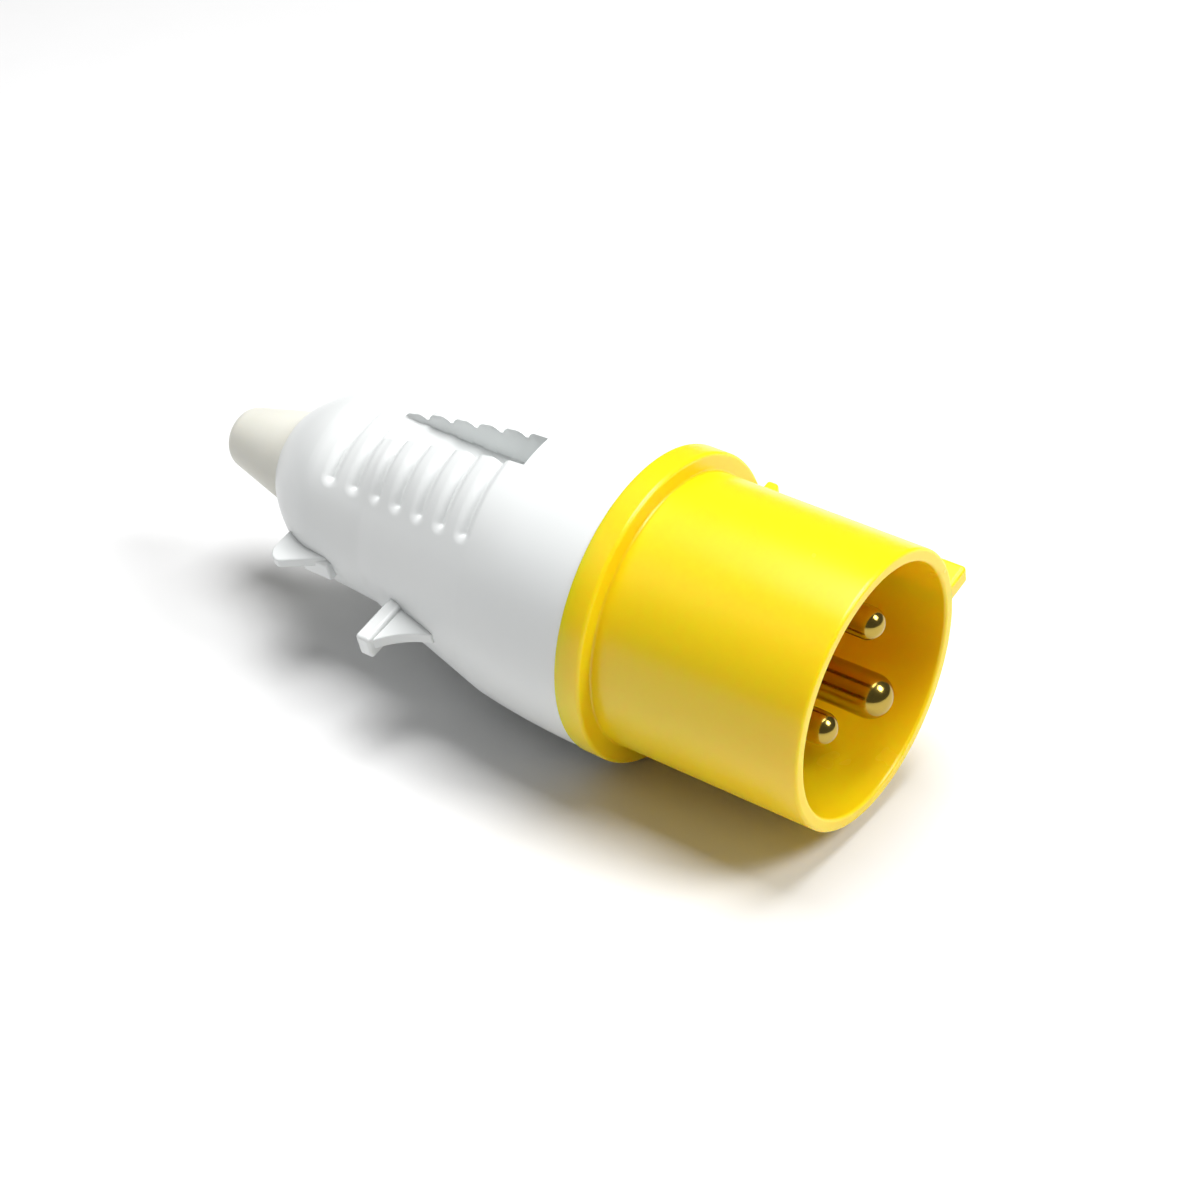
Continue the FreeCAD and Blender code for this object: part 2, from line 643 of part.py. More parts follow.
# The saddle bar lies on the posts and arches over the cord
saddle_front = post_x + SADDLE_W / 2
saddle_back = post_x - SADDLE_W / 2
arch_r = SADDLE_ARCH_R + SADDLE_T
bar_half = math.sqrt(clamp_r ** 2 - SADDLE_T ** 2) - SADDLE_END_GAP
saddle = block(saddle_back, saddle_front, -bar_half, bar_half, 0, SADDLE_T)
arch = rod(saddle_back, saddle_front, arch_r)
arch = arch.common(block(saddle_back, saddle_front, -arch_r, arch_r, 0, arch_r))
saddle = saddle.fuse(arch).cut(rod(saddle_back - 1, saddle_front + 1, SADDLE_ARCH_R))
for side in (-1, 1):
    saddle = saddle.cut(post(post_x, side * post_span, -1, SADDLE_T + 1, CLAMP_SCREW_R + SCREW_CLEAR))
cord_saddle = saddle.removeSplitter()

saddle_pair = []
for side in (-1, 1):
    shank = post(0, 0, -CLAMP_SCREW_BITE, SADDLE_T, CLAMP_SCREW_R)
    screw = shank.fuse(slotted_head(CLAMP_HEAD_R, CLAMP_HEAD_T, SADDLE_T))
    screw.translate(FreeCAD.Vector(post_x, side * post_span, 0))
    saddle_pair.append(screw)
saddle_screws = Part.makeCompound(saddle_pair)

# Every piece is rolled to where the plug lies and written out.
# The clamp goes in the other way up, with its bed on the side away from the key.
clamp_roll = ROLL + 180.0
nodes = {
    "shroud": (shroud, ROLL),
    "contact_carrier": (contact_carrier, ROLL),
    "earth_pin": (earth_pin, ROLL),
    "line_pin_a": (line_pin_a, ROLL),
    "line_pin_b": (line_pin_b, ROLL),
    "pin_retainer": (pin_retainer, ROLL),
    "retainer_screw": (retainer_screw, ROLL),
    "earth_terminal_screw": (earth_terminal_screw, ROLL),
    "line_terminal_screws": (line_terminal_screws, ROLL),
    "assembly_screws": (assembly_screws, ROLL),
    "body_seal": (body_seal, ROLL),
    "rear_housing": (rear_housing, ROLL),
    "cable_nozzle": (cable_nozzle, ROLL),
    "cord_clamp": (cord_clamp, clamp_roll),
    "cord_saddle": (cord_saddle, clamp_roll),
    "saddle_screws": (saddle_screws, clamp_roll),
}
os.makedirs("parts", exist_ok=True)
for name, (shape, roll) in nodes.items():
    rolled = spun(shape, roll)
    print(name, len(rolled.Solids), rolled.isValid(), round(rolled.Volume / 1000, 2))
    rolled.exportStep("parts/" + name + ".step")
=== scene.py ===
import math

import bmesh
import bpy
import numpy as np
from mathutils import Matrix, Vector


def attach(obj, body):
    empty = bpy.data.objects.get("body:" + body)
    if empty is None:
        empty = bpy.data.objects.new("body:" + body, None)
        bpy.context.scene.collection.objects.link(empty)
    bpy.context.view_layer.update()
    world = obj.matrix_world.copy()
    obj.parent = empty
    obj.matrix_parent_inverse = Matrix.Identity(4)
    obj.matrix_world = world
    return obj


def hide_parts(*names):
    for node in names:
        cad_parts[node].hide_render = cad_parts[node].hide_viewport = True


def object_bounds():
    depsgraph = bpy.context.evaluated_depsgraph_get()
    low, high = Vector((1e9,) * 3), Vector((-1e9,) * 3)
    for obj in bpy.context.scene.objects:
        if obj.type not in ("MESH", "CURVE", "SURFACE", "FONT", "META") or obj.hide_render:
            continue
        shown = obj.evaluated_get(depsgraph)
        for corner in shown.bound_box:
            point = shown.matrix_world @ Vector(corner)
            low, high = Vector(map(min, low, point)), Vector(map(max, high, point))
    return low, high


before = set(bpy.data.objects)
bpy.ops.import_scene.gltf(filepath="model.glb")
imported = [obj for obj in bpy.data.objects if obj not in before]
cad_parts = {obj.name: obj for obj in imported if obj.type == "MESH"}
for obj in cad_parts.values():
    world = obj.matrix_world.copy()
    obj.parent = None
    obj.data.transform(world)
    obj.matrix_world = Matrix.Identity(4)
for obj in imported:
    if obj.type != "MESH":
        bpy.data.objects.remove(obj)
cad_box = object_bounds()

# The three pins.
# Bars of free-cutting brass, turned in a lathe with a full round dome on the end that enters the
# socket. Each one is pushed into the carrier from behind and held there by its collar.
MM = 0.001
PIN_CIRCLE_R = 9.5
PIN_TIP = -1.2
DOME_SUPPORT = 0.1
MERGE_GAP = 0.0001
PIN_FLOOR = -37.0
PIN_SEAT = -44.0
PIN_STEP = 0.4
BARREL_R = 4.6
COLLAR_FRONT = -50.0
COLLAR_BACK = -52.0
COLLAR_R = 5.8
PIN_END = -66.5
WIRE_HOLE_R = 2.1
WIRE_HOLE_DEPTH = 9.0
PIN_COLUMNS = 96
# Each pin's angle round the axis, from the near side upwards, and the radius of its shank.
PIN_PLACES = {"earth_pin": (225.0, 3.5), "line_pin_a": (345.0, 2.5), "line_pin_b": (105.0, 2.5)}


def round_the_axis(station, radius, angle):
    """Point at a station on the axis, a radius from it, and an angle from the near side upwards:
    x is the station, y is minus radius times cosine, z is radius times sine."""
    station, radius, angle = np.broadcast_arrays(station, radius, np.radians(angle))
    return np.stack([station, -radius * np.cos(angle), radius * np.sin(angle)], axis=-1)


def outline(corners, steps=6, support=0.12):
    """Straight runs from corner to corner, each corner an arc: its centre lies on the bisector, at the
    rounding over the sine of half the angle. A support point each side keeps the shading flat."""
    runs = []
    for i, (x, r, rounding) in enumerate(corners):
        here = np.array((x, r))
        if not rounding:
            runs.append(here[None])
            continue
        before = np.array(corners[i - 1][:2]) - here
        after = np.array(corners[(i + 1) % len(corners)][:2]) - here
        before = before / np.linalg.norm(before)
        after = after / np.linalg.norm(after)
        half = np.arccos(before @ after) / 2
        centre = here + (before + after) / np.linalg.norm(before + after) * rounding / np.sin(half)
        reach = rounding / np.tan(half)
        start = here + before * reach - centre
        end = here + after * reach - centre
        first = np.arctan2(start[1], start[0])
        sweep = np.angle(np.exp(1j * (np.arctan2(end[1], end[0]) - first)))
        angle = first + sweep * np.linspace(0, 1, steps + 1)
        runs.append((here + before * (reach + support))[None])
        runs.append(centre + rounding * np.stack([np.cos(angle), np.sin(angle)], axis=1))
        runs.append((here + after * (reach + support))[None])
    return np.concatenate(runs)


def new_piece(name, points, faces, sharp):
    """A piece at the origin, from points in millimetres and faces that number them. Points that fall
    together are merged, faces are turned outwards, and edges steeper than an angle are kept sharp."""
    mesh = bpy.data.meshes.new(name)
    mesh.from_pydata((points * MM).tolist(), [], faces)
    work = bmesh.new()
    work.from_mesh(mesh)
    bmesh.ops.remove_doubles(work, verts=work.verts, dist=MERGE_GAP * MM)
    bmesh.ops.recalc_face_normals(work, faces=work.faces)
    work.to_mesh(mesh)
    work.free()
    mesh.shade_smooth()
    mesh.set_sharp_from_angle(angle=math.radians(sharp))
    piece = bpy.data.objects.new(name, mesh)
    bpy.context.scene.collection.objects.link(piece)
    return piece


def surface(name, points, loop_rows=False, sharp=35.0):
    """A piece over a grid of points: each face joins two neighbours in a row to the two in the next
    row. Columns close into a ring, and rows too if asked."""
    rows, columns = points.shape[:2]
    index = np.arange(rows * columns).reshape(rows, columns)
    if loop_rows:
        index = np.concatenate([index, index[:1]])
    index = np.concatenate([index, index[:, :1]], axis=1)
    faces = np.stack([index[:-1, :-1], index[:-1, 1:], index[1:, 1:], index[1:, :-1]], axis=-1)
    return new_piece(name, points.reshape(-1, 3), faces.reshape(-1, 4).tolist(), sharp)


def turned_piece(name, profile, count, offset=(0.0, 0.0), loop=True):
    """A profile of stations and radii carried round the axis, or round a line beside it."""
    angle = np.arange(count) * 360.0 / count
    points = round_the_axis(profile[:, :1], profile[:, 1:], angle[None])
    return surface(name, points + np.array([0.0, *offset]), loop_rows=loop)


def add(tree, kind, settings=None, links=None):
    """Adds one node, sets its properties and sockets, and joins other nodes' outputs to it."""
    node = tree.nodes.new(kind)
    for key, value in (settings or {}).items():
        if key in node.inputs:
            node.inputs[key].default_value = value
        else:
            setattr(node, key, value)
    for key, output in (links or {}).items():
        tree.links.new(output, node.inputs[key])
    return node


def ink(code):
    """An sRGB hex colour as linear light: the darkest tones divided by 12.92, and the others, with
    0.055 added and scaled back to one, raised to the power of 2.4."""
    srgb = np.array([int(code[i:i + 2], 16) for i in (1, 3, 5)]) / 255
    linear = np.where(srgb <= 0.04045, srgb / 12.92, ((srgb + 0.055) / 1.055) ** 2.4)
    return (*linear.tolist(), 1.0)


def marks(size):
    """The scale of a pattern whose marks are a size in millimetres: one over that size in metres."""
    return 1 / (size * MM)


def new_material(name):
    """An empty material, its node tree, and the place on the piece that its patterns follow."""
    material = bpy.data.materials.new(name)
    material.use_nodes = True
    tree = material.node_tree
    tree.nodes.clear()
    return material, tree, add(tree, "ShaderNodeTexCoord").outputs["Object"]


# Free-cutting brass, bright from the lathe: a warm metal with rings left by the tool, drawn wider
# apart than real ones so that they show, and a trace of tarnish that dulls it in patches. A wave
# pattern runs through 20 radians in a length of one, so a full turn takes WAVE_TURN of it.
RING_PITCH = 0.754
WAVE_TURN = 2 * math.pi / 20
turned_brass, tree, place = new_material("turned_brass_bright")
rings = add(tree, "ShaderNodeTexWave", {
    "wave_type": "BANDS", "bands_direction": "X", "Scale": WAVE_TURN * marks(RING_PITCH),
    "Distortion": 0.4, "Detail": 2.0, "Detail Scale": 2.0}, {"Vector": place})
tarnish = add(tree, "ShaderNodeTexNoise", {"Scale": marks(3.0), "Detail": 4.0}, {"Vector": place})
tone = add(tree, "ShaderNodeMix", {
    "data_type": "RGBA", "A": ink("#A88F3E"), "B": ink("#BDA455")}, {"Factor": tarnish.outputs["Fac"]})
dull = add(tree, "ShaderNodeMapRange", {
    "To Min": 0.12, "To Max": 0.22}, {"Value": tarnish.outputs["Fac"]})
grooves = add(tree, "ShaderNodeBump", {
    "Strength": 0.12, "Distance": 0.01 * MM}, {"Height": rings.outputs["Fac"]})
brass = add(tree, "ShaderNodeBsdfPrincipled", {"Metallic": 1.0}, {
    "Base Color": tone.outputs["Result"], "Roughness": dull.outputs["Result"],
    "Normal": grooves.outputs["Normal"]})
add(tree, "ShaderNodeOutputMaterial", links={"Surface": brass.outputs["BSDF"]})

dome = np.radians(np.linspace(0, 90, 24))
for node, (angle, shank) in PIN_PLACES.items():
    tip = np.stack([PIN_TIP - shank * (1 - np.cos(dome)), shank * np.sin(dome)], axis=1)
    body = np.array([
        (PIN_TIP - shank - DOME_SUPPORT, shank), (PIN_FLOOR, shank), (PIN_FLOOR, shank + PIN_STEP),
        (PIN_SEAT, shank + PIN_STEP), (PIN_SEAT, BARREL_R), (COLLAR_FRONT, BARREL_R),
        (COLLAR_FRONT, COLLAR_R), (COLLAR_BACK, COLLAR_R), (COLLAR_BACK, BARREL_R), (PIN_END, BARREL_R),
        (PIN_END, WIRE_HOLE_R), (PIN_END + WIRE_HOLE_DEPTH, WIRE_HOLE_R), (PIN_END + WIRE_HOLE_DEPTH, 0)])
    centre = round_the_axis(0.0, PIN_CIRCLE_R, angle)
    pin = turned_piece(node + "_turned", np.concatenate([tip, body]), PIN_COLUMNS, centre[1:], loop=False)
    pin.data.materials.append(turned_brass)
    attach(pin, "root")
    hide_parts(node)

# The sleeve with its flange, ledge and spigot.
# One injection moulding in bright yellow polyamide. The pins stand inside it, the carrier seats on
# its ledge, and the rear housing slides over its spigot up to the flange.
RIM_R = 21.75
BORE_R = 19.63
RIM_ROUND = 0.5
ROOT_R = 21.9
ROOT_ROUND = 0.35
FLANGE_R = 24.84
FLANGE_FRONT = -35.0
FLANGE_BACK = -39.35
FLANGE_ROUND = 0.6
FLANGE_BACK_ROUND = 0.25
LEDGE_FRONT = -40.0
LEDGE_BACK = -42.6
LEDGE_R = 17.0
SPIGOT_R = 21.6
SPIGOT_BORE_R = 19.4
SPIGOT_END = -51.35
SEAL_FRONT = -43.35
SEAL_BACK = -46.35
SEAL_BOTTOM_R = 20.4
SLEEVE_COLUMNS = 320

# Polyamide from a polished tool: glossy, with soft highlights along every rounded edge. Its flow
# varies tone and shine a little, and the light that sinks into the wall comes out more orange.
yellow_moulding, tree, place = new_material("yellow_polyamide_gloss_moulded")
flow = add(tree, "ShaderNodeTexNoise", {
    "Scale": marks(14.0), "Detail": 3.0, "Roughness": 0.6}, {"Vector": place})
tone = add(tree, "ShaderNodeMix", {
    "data_type": "RGBA", "A": ink("#FBD40E"), "B": ink("#FCD612")}, {"Factor": flow.outputs["Fac"]})
grain = add(tree, "ShaderNodeTexNoise", {"Scale": marks(0.9), "Detail": 2.0}, {"Vector": place})
shine = add(tree, "ShaderNodeMapRange", {
    "To Min": 0.24, "To Max": 0.29}, {"Value": flow.outputs["Fac"]})
skin = add(tree, "ShaderNodeBump", {
    "Strength": 0.03, "Distance": 0.02 * MM}, {"Height": grain.outputs["Fac"]})
yellow = add(tree, "ShaderNodeBsdfPrincipled", {
    "IOR": 1.5, "Subsurface Weight": 0.6, "Subsurface Radius": (1.0, 0.3, 0.03),
    "Subsurface Scale": 5 * MM}, {
    "Base Color": tone.outputs["Result"], "Roughness": shine.outputs["Result"],
    "Normal": skin.outputs["Normal"]})
add(tree, "ShaderNodeOutputMaterial", links={"Surface": yellow.outputs["BSDF"]})

profile = outline([
    (0.0, BORE_R, RIM_ROUND), (0.0, RIM_R, RIM_ROUND), (FLANGE_FRONT, ROOT_R, ROOT_ROUND),
    (FLANGE_FRONT, FLANGE_R, FLANGE_ROUND), (FLANGE_BACK, FLANGE_R, FLANGE_BACK_ROUND),
    (FLANGE_BACK, SPIGOT_R, 0), (SEAL_FRONT, SPIGOT_R, 0), (SEAL_FRONT, SEAL_BOTTOM_R, 0),
    (SEAL_BACK, SEAL_BOTTOM_R, 0), (SEAL_BACK, SPIGOT_R, 0), (SPIGOT_END, SPIGOT_R, 0),
    (SPIGOT_END, SPIGOT_BORE_R, 0), (LEDGE_BACK, SPIGOT_BORE_R, 0), (LEDGE_BACK, LEDGE_R, 0),
    (LEDGE_FRONT, LEDGE_R, 0), (LEDGE_FRONT, BORE_R, 0)])
sleeve = turned_piece("sleeve_moulding", profile, SLEEVE_COLUMNS)
sleeve.data.materials.append(yellow_moulding)
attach(sleeve, "root")
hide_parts("shroud")

# The key rib and its heel.
# Both belong to the sleeve's moulding. The rib runs the whole length of the sleeve and fits the
# keyway of the socket, and the heel stiffens it where it meets the flange.
KEY_ANGLE = 165.0
KEY_FRONT = -0.05
KEY_TOP_R = 26.2
KEY_HALF_W = 1.6
KEY_ROUND = 0.7
KEY_FOOT_R = RIM_R - 0.9
KEY_BACK = FLANGE_FRONT - 0.3
HEEL_TOP_R = 27.0
HEEL_TOP_FRONT = FLANGE_FRONT + 1.6
HEEL_TOE = FLANGE_FRONT + 4.0
HEEL_FOOT_R = RIM_R - 0.6
HEEL_HALF_W = 3.5
HEEL_ROUND = 0.5
PLATE_EDGE_ANGLE = 30.0


def standing_plate(name, side, half_width, angle, rounding, shift=0.0, segments=4):
    """A side outline of stations and heights above the axis, given thickness across it and turned
    round the axis to its angle: y is the share across times sine minus the height times cosine, and
    z is the height times sine plus the share across times cosine. Its edges are rounded."""
    side = np.asarray(side, float)
    across = np.array([shift - half_width, shift + half_width])
    turn = math.radians(angle)
    x = np.broadcast_to(side[None, :, 0], (2, len(side)))
    y = -side[None, :, 1] * math.cos(turn) + across[:, None] * math.sin(turn)
    z = side[None, :, 1] * math.sin(turn) + across[:, None] * math.cos(turn)
    points = np.stack([x, y, z], axis=-1).reshape(-1, 3)
    ring = np.arange(len(side))
    after = np.roll(ring, -1)
    walls = np.stack([ring, after, after + len(side), ring + len(side)], axis=1).tolist()
    cheeks = [ring.tolist(), (ring + len(side)).tolist()]
    piece = new_piece(name, points, walls + cheeks, PLATE_EDGE_ANGLE)
    soften = piece.modifiers.new("moulded_edges", "BEVEL")
    soften.width = rounding * MM
    soften.segments = segments
    soften.limit_method = "ANGLE"
    soften.angle_limit = math.radians(PLATE_EDGE_ANGLE)
    soften.harden_normals = True
    return piece


key = standing_plate("key_rib", [
    (KEY_FRONT, KEY_FOOT_R), (KEY_FRONT, KEY_TOP_R), (KEY_BACK, KEY_TOP_R), (KEY_BACK, KEY_FOOT_R)],
    KEY_HALF_W, KEY_ANGLE, KEY_ROUND, segments=6)
heel = standing_plate("key_heel", [
    (KEY_BACK, HEEL_TOP_R), (HEEL_TOP_FRONT, HEEL_TOP_R), (HEEL_TOE, RIM_R), (HEEL_TOE, HEEL_FOOT_R),
    (KEY_BACK, HEEL_FOOT_R)], HEEL_HALF_W, KEY_ANGLE, HEEL_ROUND)
for piece in (key, heel):
    piece.data.materials.append(yellow_moulding)
    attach(piece, "root")
    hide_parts("shroud")

# The contact carrier and the plate behind it.
# Two mouldings that hold the pins between them. The carrier seats on the sleeve's ledge, and the
# plate is screwed on behind it and locks the pins' collars.

# Glass-filled polyamide in the sleeve's yellow, which the heat of the terminals asks for: duller
# and a little darker, with a satin skin that the fibres under it make uneven.
filled_moulding, tree, place = new_material("yellow_glass_filled_polyamide_satin")
fibre = add(tree, "ShaderNodeTexNoise", {
    "Scale": marks(0.6), "Detail": 5.0, "Roughness": 0.65}, {"Vector": place})
tone = add(tree, "ShaderNodeMix", {
    "data_type": "RGBA", "A": ink("#DDB012"), "B": ink("#EBC124")}, {"Factor": fibre.outputs["Fac"]})
skin = add(tree, "ShaderNodeBump", {
    "Strength": 0.15, "Distance": 0.02 * MM}, {"Height": fibre.outputs["Fac"]})
filled = add(tree, "ShaderNodeBsdfPrincipled", {"IOR": 1.52, "Roughness": 0.45}, {
    "Base Color": tone.outputs["Result"], "Normal": skin.outputs["Normal"]})
add(tree, "ShaderNodeOutputMaterial", links={"Surface": filled.outputs["BSDF"]})


def finish_node(node, material):
    """Puts a material on a CAD node in place of the one it came with."""
    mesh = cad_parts[node].data
    mesh.materials.clear()
    mesh.materials.append(material)


for node in ("contact_carrier", "pin_retainer"):
    finish_node(node, filled_moulding)

# The screws.
# Slotted steel screws. Two long ones hold carrier, sleeve and housing together, and the others clamp
# the wires, the plate and the cord's saddle.

# Steel, bright zinc plated: a cool metal that the plating leaves slightly cloudy.
zinc_steel, tree, place = new_material("steel_bright_zinc_plated")
bloom = add(tree, "ShaderNodeTexNoise", {"Scale": marks(1.2), "Detail": 4.0}, {"Vector": place})
tone = add(tree, "ShaderNodeMix", {
    "data_type": "RGBA", "A": ink("#B4B6B8"), "B": ink("#CFD0CE")}, {"Factor": bloom.outputs["Fac"]})
dull = add(tree, "ShaderNodeMapRange", {
    "To Min": 0.25, "To Max": 0.42}, {"Value": bloom.outputs["Fac"]})
zinc = add(tree, "ShaderNodeBsdfPrincipled", {"Metallic": 1.0}, {
    "Base Color": tone.outputs["Result"], "Roughness": dull.outputs["Result"]})
add(tree, "ShaderNodeOutputMaterial", links={"Surface": zinc.outputs["BSDF"]})
for node in (
        "assembly_screws", "retainer_screw", "earth_terminal_screw", "line_terminal_screws",
        "saddle_screws"):
    finish_node(node, zinc_steel)

# The seal.
# A black nitrile ring, stretched into the spigot's groove and squeezed by the housing's bore.

# Nitrile rubber as moulded: near black and dull, with a faint bloom.
seal_rubber, tree, place = new_material("black_nitrile_moulded")
bloom = add(tree, "ShaderNodeTexNoise", {"Scale": marks(0.8), "Detail": 3.0}, {"Vector": place})
tone = add(tree, "ShaderNodeMix", {
    "data_type": "RGBA", "A": ink("#151515"), "B": ink("#222222")}, {"Factor": bloom.outputs["Fac"]})
rubber = add(tree, "ShaderNodeBsdfPrincipled", {
    "IOR": 1.52, "Roughness": 0.6}, {"Base Color": tone.outputs["Result"]})
add(tree, "ShaderNodeOutputMaterial", links={"Surface": rubber.outputs["BSDF"]})
finish_node("body_seal", seal_rubber)

# The rear housing.
# One injection moulding in glossy white polyamide: a bell behind the flange, a tapered grip with two
# long grooves and seven flutes across each, a neck, and a bulged shoulder down to the nozzle's mouth.
FRONT_R = 24.6
BELL_END = -59.0
BELL_R = 23.3
BELL_MID_R = 24.3
CONE_END = -80.0
CONE_END_R = 18.1
NECK_START = -83.5
NECK_R = 17.0
NECK_END = -96.0
NECK_END_R = 16.2
MOUTH_X = -107.6
MOUTH_R = 9.4
MOUTH_BORE_R = 8.7
MOUTH_ROUND = 0.45
SHOULDER_BULGE = 0.95
CORNER_EASING = 0.6
WALL = 2.4
LIP_X = -104.0
SEAT_R = 10.4
HOLLOW_STEP = 0.3
FRONT_ARRIS = 0.25
FRONT_NICK = 0.07

# The grooves' centres round the axis, their half width, their front wall, and their floor as
# stations and heights. The side walls and the front wall fall over twice the last two lengths.
GROOVE_ANGLES = (75.0, 255.0)
GROOVE_HALF_W = 3.0
GROOVE_FRONT = -56.5
GROOVE_FLOOR = ((-90.5, 16.9), (-80.5, 16.8), (-56.5, 16.57))
GROOVE_WALL_RUN = 0.1
GROOVE_FRONT_RUN = 0.12

# The flutes' middles, their reach round the axis to each side of a groove's centre, three points of
# their flank, each a distance from the middle and a height over the skin, and the distance to each
# side of the middle over which the skin's slope is taken.
FLUTE_STATIONS = -60.8 - 5.1 * np.arange(7)
FLUTE_HALF_SPAN = 38.5
FLUTE_FLANK = ((0.3, -1.0), (0.95, -0.32), (2.2, 0.0))
SLOPE_STEP = 0.3

# The grip stands fuller beside the grooves than a round cone, by a rise for each station, whose
# corners are eased, and which fades out between two angles from a groove's centre.
FULLNESS = (
    (-89.5, 0.0), (-85.0, 1.1), (-80.5, 1.4), (-72.0, 1.15), (-62.0, 0.8), (-56.0, 0.5), (-50.0, 0.0))
FULLNESS_EASING = 2.5
FULLNESS_FADE = (18.0, 48.0)

# The skin's grid: the radius at which its columns are spaced, the angles from a groove's centre
# between which they turn from parallel to radial, the angles between which the flutes run out, and
# the stations of the first and the last row over the flutes.
COLUMN_R = 24.0
FAN_OUT = (9.0, 24.0)
FLUTE_ENDS = (35.0, 48.5)
FLUTED_ROWS = (-57.2, -94.0)


def through(three):
    """Centre and radius of the circle through three points (station, radius)."""
    (ax, ay), (bx, by), (cx, cy) = three
    d = 2 * (ax * (by - cy) + bx * (cy - ay) + cx * (ay - by))
    ux = ((ax**2 + ay**2) * (by - cy) + (bx**2 + by**2) * (cy - ay) + (cx**2 + cy**2) * (ay - by)) / d
    uy = ((ax**2 + ay**2) * (cx - bx) + (bx**2 + by**2) * (ax - cx) + (cx**2 + cy**2) * (bx - ax)) / d
    return ux, uy, math.hypot(ax - ux, ay - uy)


def housing_radius(x):
    """Outer radius of the bare housing: an arc over the bell, straight cone and neck runs whose
    corners are eased, as the mean of seven places near by, and an arc over the shoulder."""
    bell_middle = ((FLANGE_BACK + BELL_END) / 2, BELL_MID_R)
    bell = through([(FLANGE_BACK, FRONT_R), bell_middle, (BELL_END, BELL_R)])
    shoulder_middle = ((NECK_END + MOUTH_X) / 2, (NECK_END_R + MOUTH_R) / 2 + SHOULDER_BULGE)
    shoulder = through([(NECK_END, NECK_END_R), shoulder_middle, (MOUTH_X, MOUTH_R)])
    stations = [MOUTH_X, NECK_END, NECK_START, CONE_END, BELL_END, FLANGE_BACK]
    radii = [MOUTH_R, NECK_END_R, NECK_R, CONE_END_R, BELL_R, FRONT_R]
    taps = np.linspace(-CORNER_EASING, CORNER_EASING, 7)
    straight = np.mean([np.interp(x + tap, stations, radii) for tap in taps], axis=0)
    on_bell = bell[1] + np.sqrt(np.maximum(bell[2]**2 - (x - bell[0])**2, 0))
    on_shoulder = shoulder[1] + np.sqrt(np.maximum(shoulder[2]**2 - (x - shoulder[0])**2, 0))
    radius = np.where(x > BELL_END, on_bell, straight)
    return np.where(x < NECK_END, on_shoulder, radius)


def eased(low, high, place):
    """Nought below the first place, one above the second, and a smooth S between them: three times
    the share's square minus twice its cube."""
    t = np.clip((place - low) / (high - low), 0, 1)
    return t * t * (3 - 2 * t)


def housing_rows():
    """Stations of the grid's rows, from the flange to the mouth: close together at the grooves' front
    wall and over the flutes, and wider elsewhere."""
    return np.concatenate([
        np.linspace(FLANGE_BACK, GROOVE_FRONT + 0.9, 12), GROOVE_FRONT + np.linspace(0.5, -0.5, 11),
        np.linspace(*FLUTED_ROWS, 186), np.linspace(FLUTED_ROWS[1] - 0.4, NECK_END, 4),
        np.linspace(NECK_END - 0.6, MOUTH_X + 0.5, 22)])


def housing_columns():
    """Angles of the grid's columns from a groove's centre, over half a turn: close together at the
    groove's walls and at the flutes' ends, and wider elsewhere."""
    wall = math.degrees(math.asin(GROOVE_HALF_W / COLUMN_R))
    floor = np.linspace(0, wall - 1.6, 4)
    near_wall = wall + np.array([-1.0, -0.45, -0.3, -0.2, -0.1, 0.0, 0.1, 0.2, 0.3, 0.45, 1.0])
    fluted = np.arange(wall + 2.0, FLUTE_ENDS[0], 1.6)
    ends = np.arange(*FLUTE_ENDS, 0.6)
    plain = np.linspace(FLUTE_ENDS[1] + 1.5, 90.0, 22)
    quarter = np.concatenate([floor, near_wall, fluted, ends, plain])
    return np.concatenate([-quarter[:0:-1], quarter[:-1]])


def fanned(from_groove, radius):
    """Angle of a column at a radius. Beside a groove the column keeps its distance across, so the
    angle is the arcsine of that distance over the radius, and away from a groove it keeps its angle.
    The radius counts as the neck's or more, so that columns don't cross near the mouth."""
    across = COLUMN_R * np.sin(np.radians(from_groove))
    parallel = np.degrees(np.arcsin(np.clip(across / np.maximum(radius, NECK_END_R), -1, 1)))
    share = 1 - eased(*FAN_OUT, np.abs(from_groove))
    return share * parallel + (1 - share) * from_groove


def flute_depth(off):
    """Height over the skin at a distance from a flute's middle: level in its bottom, then an arc up
    its flank to the skin, through the three points of FLUTE_FLANK."""
    x, y, r = through(FLUTE_FLANK)
    off = np.clip(np.abs(off), FLUTE_FLANK[0][0], FLUTE_FLANK[-1][0])
    return y + np.sqrt(r**2 - (off - x)**2)


def flute_cut(middle, station, beyond):
    """What one flute adds to the height, at a distance beyond its end. It is cut square to the skin,
    which leans there, so the depth and the place along the skin follow each other in four passes."""
    behind, ahead = housing_radius(np.array([middle - SLOPE_STEP, middle + SLOPE_STEP]))
    lean = math.atan2(ahead - behind, 2 * SLOPE_STEP)
    along = station - middle
    for _ in range(4):
        depth = flute_depth(np.hypot(along, beyond))
        along = (station - middle + depth * math.sin(lean)) / math.cos(lean)
    return depth / math.cos(lean)


def grip_height(station, bare, angle):
    """Height of the skin without the grooves: the bare radius, plus the fullness beside the grooves,
    as the mean of nine places near by, plus what each flute adds, which is less than nought."""
    full_x, full_rise = zip(*FULLNESS)
    taps = np.linspace(-FULLNESS_EASING, FULLNESS_EASING, 9)
    fullness = np.mean([np.interp(station + tap, full_x, full_rise) for tap in taps], axis=0)
    height = bare + fullness * (1 - eased(*FULLNESS_FADE, np.abs(angle)))
    beyond = np.radians(np.maximum(np.abs(angle) - FLUTE_HALF_SPAN, 0)) * bare
    for middle in FLUTE_STATIONS:
        height = height + flute_cut(middle, station, beyond)
    return height


